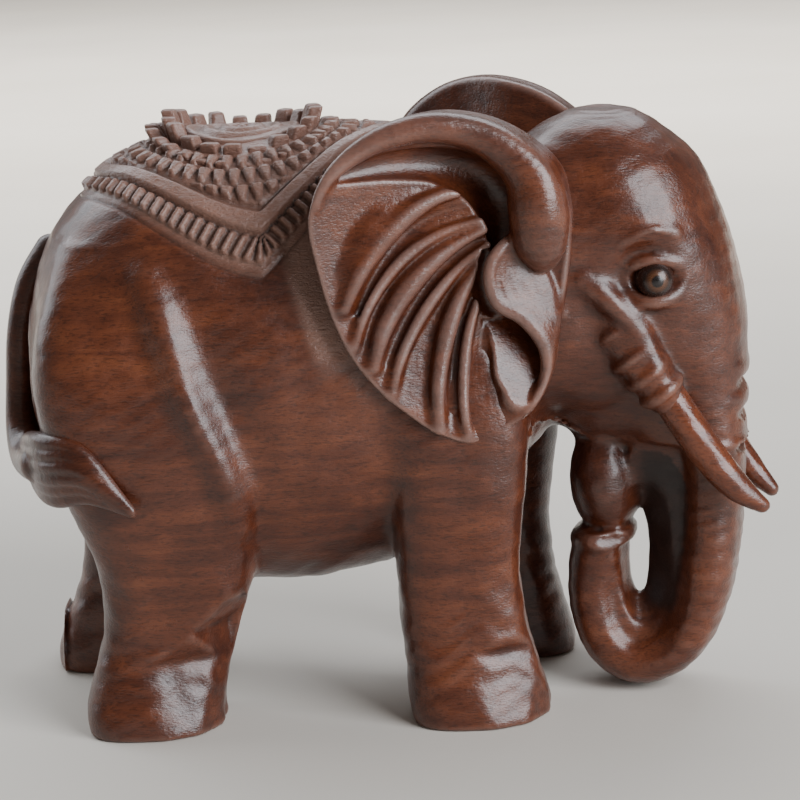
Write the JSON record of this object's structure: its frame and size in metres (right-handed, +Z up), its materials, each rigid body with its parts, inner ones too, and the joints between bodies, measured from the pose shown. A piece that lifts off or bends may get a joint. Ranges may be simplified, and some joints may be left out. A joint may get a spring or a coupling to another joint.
{
  "type": "carved elephant figurine",
  "caption": "Hand-carved standing elephant in dark hardwood, trunk curled to the lower lip, with fan-veined ears, short tusks, a fringed saddle blanket and a rosette on the back.",
  "frame": {"origin": "middle of the bounding box in plan, at the height of the four soles", "axes": "+X from the rump to the trunk, +Y towards the elephant's left side, +Z up"},
  "size_m": [0.1496, 0.0774, 0.1156],
  "materials": {
    "block_wood": "oiled and waxed dark reddish hardwood, satin with soft highlights",
    "ear_wood": "oiled and waxed dark reddish hardwood, satin",
    "tusk_wood": "polished dark reddish hardwood",
    "tail_wood": "oiled dark reddish hardwood, satin",
    "eye_bead": "dark brown glossy bead with an amber glint"
  },
  "bodies": {
    "root": {"carved_body": "block_wood", "right_ear": "ear_wood", "left_ear": "ear_wood", "right_tusk": "tusk_wood", "left_tusk": "tusk_wood", "tail": "tail_wood", "right_eye": "eye_bead", "left_eye": "eye_bead"}
  },
  "joints": []
}
